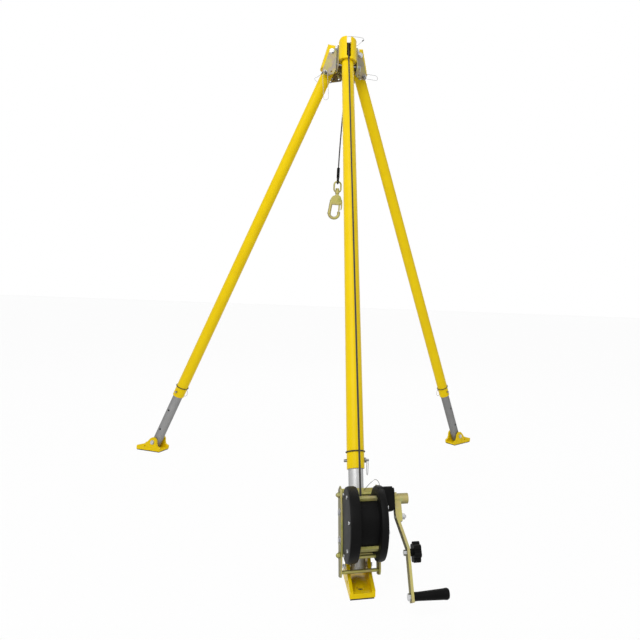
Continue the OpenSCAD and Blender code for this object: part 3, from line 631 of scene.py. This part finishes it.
def calculate(tree, operation, first, second):
    node = tree.nodes.new("ShaderNodeMath")
    node.operation = operation
    for socket, value in zip(node.inputs, (first, second)):
        if isinstance(value, bpy.types.NodeSocket):
            tree.links.new(value, socket)
        else:
            socket.default_value = value
    return node.outputs["Value"]


def repeat_shape(tree, points, shape, direction, finish, output):
    """The shape at each point with its z along the direction, as plain geometry with its finish."""
    turn = tree.nodes.new("FunctionNodeAlignRotationToVector")
    turn.axis = "Z"
    copies = tree.nodes.new("GeometryNodeInstanceOnPoints")
    plain = tree.nodes.new("GeometryNodeRealizeInstances")
    coat = tree.nodes.new("GeometryNodeSetMaterial")
    coat.inputs["Material"].default_value = finish_of[finish]
    tree.links.new(direction, turn.inputs["Vector"])
    tree.links.new(points, copies.inputs["Points"])
    tree.links.new(shape, copies.inputs["Instance"])
    tree.links.new(turn.outputs["Rotation"], copies.inputs["Rotation"])
    tree.links.new(copies.outputs["Instances"], plain.inputs["Geometry"])
    tree.links.new(plain.outputs["Geometry"], coat.inputs["Geometry"])
    tree.links.new(coat.outputs["Geometry"], output.inputs["Geometry"])
    return copies


def facing(tree):
    node = tree.nodes.new("GeometryNodeInputNamedAttribute")
    node.data_type = "FLOAT_VECTOR"
    node.inputs["Name"].default_value = "facing"
    return node.outputs["Attribute"]


def washer_group():
    tree, sizes, output = node_group("washers", {"Outer": 0.016, "Inner": 0.008, "Thickness": 0.002})
    both = calculate(tree, "ADD", sizes.outputs["Outer"], sizes.outputs["Inner"])
    middle = calculate(tree, "MULTIPLY", both, 0.5)
    width = calculate(tree, "SUBTRACT", sizes.outputs["Outer"], sizes.outputs["Inner"])
    ring = tree.nodes.new("GeometryNodeCurvePrimitiveCircle")
    ring.inputs["Resolution"].default_value = 40
    section = tree.nodes.new("GeometryNodeCurvePrimitiveQuadrilateral")
    solid = tree.nodes.new("GeometryNodeCurveToMesh")
    tree.links.new(middle, ring.inputs["Radius"])
    tree.links.new(width, section.inputs["Width"])
    tree.links.new(sizes.outputs["Thickness"], section.inputs["Height"])
    tree.links.new(ring.outputs["Curve"], solid.inputs["Curve"])
    tree.links.new(section.outputs["Curve"], solid.inputs["Profile Curve"])
    repeat_shape(tree, sizes.outputs["Geometry"], solid.outputs["Mesh"], facing(tree), "bright_steel", output)
    return tree


def socket_screw_group():
    tree, sizes, output = node_group("socket_screws", {"Radius": 0.005, "Height": 0.004, "Key": 0.0025})
    head = tree.nodes.new("GeometryNodeMeshCylinder")
    head.inputs["Vertices"].default_value = 28
    key = tree.nodes.new("GeometryNodeMeshCylinder")
    key.inputs["Vertices"].default_value = 6
    lift = tree.nodes.new("GeometryNodeTransform")
    place = tree.nodes.new("ShaderNodeCombineXYZ")
    cut = tree.nodes.new("GeometryNodeMeshBoolean")
    cut.operation = "DIFFERENCE"
    tree.links.new(sizes.outputs["Radius"], head.inputs["Radius"])
    tree.links.new(sizes.outputs["Height"], head.inputs["Depth"])
    tree.links.new(sizes.outputs["Key"], key.inputs["Radius"])
    tree.links.new(sizes.outputs["Height"], key.inputs["Depth"])
    tree.links.new(calculate(tree, "MULTIPLY", sizes.outputs["Height"], 0.4), place.inputs["Z"])
    tree.links.new(place.outputs["Vector"], lift.inputs["Translation"])
    tree.links.new(key.outputs["Mesh"], lift.inputs["Geometry"])
    tree.links.new(head.outputs["Mesh"], cut.inputs["Mesh 1"])
    tree.links.new(lift.outputs["Geometry"], cut.inputs["Mesh 2"])
    repeat_shape(tree, sizes.outputs["Geometry"], cut.outputs["Mesh"], facing(tree), "bright_steel", output)
    return tree


def weld_group():
    tree, sizes, output = node_group("weld_beads", {"Radius": 0.0026, "Pitch": 0.0019})
    route = tree.nodes.new("GeometryNodeMeshToCurve")
    beads = tree.nodes.new("GeometryNodeResampleCurve")
    beads.mode = "LENGTH"
    tangent = tree.nodes.new("GeometryNodeInputTangent")
    bead = tree.nodes.new("GeometryNodeMeshUVSphere")
    bead.inputs["Segments"].default_value = 12
    bead.inputs["Rings"].default_value = 7
    tree.links.new(sizes.outputs["Geometry"], route.inputs["Mesh"])
    tree.links.new(route.outputs["Curve"], beads.inputs["Curve"])
    tree.links.new(sizes.outputs["Pitch"], beads.inputs["Length"])
    tree.links.new(sizes.outputs["Radius"], bead.inputs["Radius"])
    copies = repeat_shape(tree, beads.outputs["Curve"], bead.outputs["Mesh"], tangent.outputs["Tangent"],
                          "zinc_plate", output)
    copies.inputs["Scale"].default_value = (1.0, 1.0, 0.6)
    return tree


def grow(name, tree, body, slot, points, facings=(), edges=(), **sizes):
    """Runs a node group on points or lines and keeps the result as a plain mesh on a body."""
    mesh = bpy.data.meshes.new(name)
    mesh.from_pydata([tuple(p) for p in points], list(edges), [])
    if facings:
        attribute = mesh.attributes.new("facing", "FLOAT_VECTOR", "POINT")
        attribute.data.foreach_set("vector", [c for f in facings for c in f])
    obj = link(bpy.data.objects.new(name, mesh))
    modifier = obj.modifiers.new("grow", "NODES")
    modifier.node_group = tree
    for item in tree.interface.items_tree:
        if item.in_out == "INPUT" and item.name in sizes:
            modifier[item.identifier] = sizes[item.name]
    flatten_modifiers(obj)
    shade(obj.data)
    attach(obj, body)


washers = washer_group()
socket_screws = socket_screw_group()
welds = weld_group()

# Fasteners' sizes, and the faces that they sit on
PIVOT_WASHER = {"Outer": 14.0 * MM, "Inner": 8.2 * MM, "Thickness": 2.4 * MM}
FOOT_WASHER = {"Outer": 11.5 * MM, "Inner": 6.2 * MM, "Thickness": 1.8 * MM}
STRAP_WASHER = {"Outer": 11.0 * MM, "Inner": 5.2 * MM, "Thickness": 1.8 * MM}
COVER_SCREW = {"Radius": 5.0 * MM, "Height": 3.6 * MM, "Key": 2.6 * MM}
WELD_BEAD = {"Radius": 2.8 * MM, "Pitch": 1.9 * MM}
PIVOT_SEAT = 53.7 * MM
FOOT_SEAT = 39.2 * MM
COVER_SEAT = 1.6

both_sides = [(legs[name], side) for name in LEGS for side in (-1, 1)]
grow("pivot_washers", washers, "head", "bright_steel",
     [leg.head + leg.across * side * PIVOT_SEAT for leg, side in both_sides],
     [leg.across * side for leg, side in both_sides], **PIVOT_WASHER)
for leg in legs.values():
    grow(leg.name + "_foot_washers", washers, leg.name + "_lower", "bright_steel",
         [leg.foot + leg.across * side * FOOT_SEAT for side in (-1, 1)],
         [leg.across * side for side in (-1, 1)], **FOOT_WASHER)

# Strap screws: each strap's outer face in mm and its side, and the screws' places on it
STRAP_FACES = ((-64.0, -1), (59.0, 1))
STRAP_SCREWS = ((-72, 146), (-72, 70))
grow("strap_washers", washers, "front_lower", "bright_steel",
     [front.at((x + side) * MM, y * MM, z * MM) for x, side in STRAP_FACES for y, z in STRAP_SCREWS],
     [front.across * side for _, side in STRAP_FACES for _ in STRAP_SCREWS], **STRAP_WASHER)

# Cover screws: each cover's face in mm, its side, and the screws' angles in degrees
COVER_SCREW_R = 84.0 * MM
COVER_SCREWS = ((-59.0, -1, (75, 125, 180, 235, 285)), (54.0, 1, (155, 200, 250, 285)))
screw_places = []
screw_facings = []
for face_x, side, angles in COVER_SCREWS:
    for angle in angles:
        turn = math.radians(angle)
        out = -winch_out + COVER_SCREW_R * math.cos(turn)
        up = winch_up + COVER_SCREW_R * math.sin(turn)
        screw_places.append(front.at((face_x + side * COVER_SEAT) * MM, out, up))
        screw_facings.append(front.across * side)
grow("cover_screws", socket_screws, "front_lower", "bright_steel", screw_places, screw_facings, **COVER_SCREW)

# Weld beads down both sides of each web, in mm from the tripod's axis at the pivots' height
WEB_AZIMUTHS = (-30, 90, 210)
WELD_SIDE = 4.4
WELD_OUT = 54.0
WELD_TOP = -32.0
WELD_LOW = -86.0
weld_points = []
for azimuth in WEB_AZIMUTHS:
    turn = Matrix.Rotation(math.radians(azimuth), 4, "Z")
    for side in (-1, 1):
        for z in (WELD_TOP, WELD_LOW):
            spot = turn @ Vector((WELD_OUT, side * WELD_SIDE, z))
            weld_points.append(axis_point + spot * MM)
weld_edges = [(i, i + 1) for i in range(0, len(weld_points), 2)]
grow("web_welds", welds, "head", "zinc_plate", weld_points, edges=weld_edges, **WELD_BEAD)


# Stage, lights and camera

FLOOR_REACH = 40.0
FLOOR_CLEAR = 0.96
SKY_LIGHT = 0.36


def seen_directly(tree):
    """One for rays from the camera, in mirrors and through glass, nought for light on the object."""
    path = add(tree, "ShaderNodeLightPath")
    seen = path.outputs["Is Camera Ray"]
    for kind in ("Is Glossy Ray", "Is Transmission Ray"):
        seen = calculate(tree, "MAXIMUM", seen, path.outputs[kind])
    return seen


def floor():
    """Holds the shadow and throws light back, but is nearly clear, so a low leg shows through it."""
    material, tree, shader = new_material("floor_white")
    shader.inputs["Base Color"].default_value = (0.86, 0.86, 0.86, 1.0)
    shader.inputs["Roughness"].default_value = 0.9
    output = tree.nodes["Material Output"]
    clear = add(tree, "ShaderNodeBsdfTransparent")
    mixed = add(tree, "ShaderNodeMixShader")
    tree.links.new(level(tree, seen_directly(tree), 0.0, FLOOR_CLEAR), mixed.inputs["Fac"])
    tree.links.new(shader.outputs["BSDF"], mixed.inputs[1])
    tree.links.new(clear.outputs["BSDF"], mixed.inputs[2])
    tree.links.new(mixed.outputs["Shader"], output.inputs["Surface"])
    mesh = bpy.data.meshes.new("floor")
    corners = [(x * FLOOR_REACH, y * FLOOR_REACH, 0) for x, y in ((-1, -1), (1, -1), (1, 1), (-1, 1))]
    mesh.from_pydata(corners, [], [(0, 1, 2, 3)])
    mesh.materials.append(material)
    link(bpy.data.objects.new("floor", mesh))


def sky():
    """White to the eye and in reflections, and dim as a light."""
    world = bpy.data.worlds.new("studio")
    bpy.context.scene.world = world
    world.use_nodes = True
    tree = world.node_tree
    background = tree.nodes["Background"]
    background.inputs["Color"].default_value = (1.0, 1.0, 1.0, 1.0)
    tree.links.new(level(tree, seen_directly(tree), SKY_LIGHT, 1.0), background.inputs["Strength"])


def area_light(name, place, aim, size, power):
    """A square lamp turned to its aim, with its side in metres and its power in watts."""
    data = bpy.data.lights.new(name, "AREA")
    data.shape = "SQUARE"
    data.size = size
    data.energy = power
    lamp = link(bpy.data.objects.new(name, data))
    lamp.location = place
    lamp.rotation_euler = (Vector(aim) - Vector(place)).to_track_quat("-Z", "Y").to_euler()


def camera():
    """The photograph's view: its place, its direction, its roll and its lens."""
    data = bpy.data.cameras.new("camera")
    data.sensor_width = CAMERA_SENSOR
    data.lens = CAMERA_LENS
    data.shift_x, data.shift_y = CAMERA_SHIFT
    obj = link(bpy.data.objects.new("camera", data))
    forward = CAMERA_FORWARD.normalized()
    flat_right = forward.cross(Vector((0, 0, 1))).normalized()
    flat_up = flat_right.cross(forward)
    right = flat_right * math.cos(CAMERA_ROLL) + flat_up * math.sin(CAMERA_ROLL)
    up = flat_up * math.cos(CAMERA_ROLL) - flat_right * math.sin(CAMERA_ROLL)
    turn = Matrix((right, up, -forward)).transposed().to_4x4()
    obj.matrix_world = Matrix.Translation(axis_floor + CAMERA_FROM_AXIS) @ turn
    bpy.context.scene.camera = obj


floor()
sky()
area_light("key", (-2.0, -3.4, 4.4), (0, 0, 1.0), 4.0, 190)
area_light("fill", (3.2, -2.2, 2.2), (0, 0, 0.9), 3.0, 16)
area_light("back", (0.6, 3.4, 3.6), (0, 0, 1.2), 2.4, 45)
camera()
bpy.context.scene.view_settings.view_transform = "Standard"
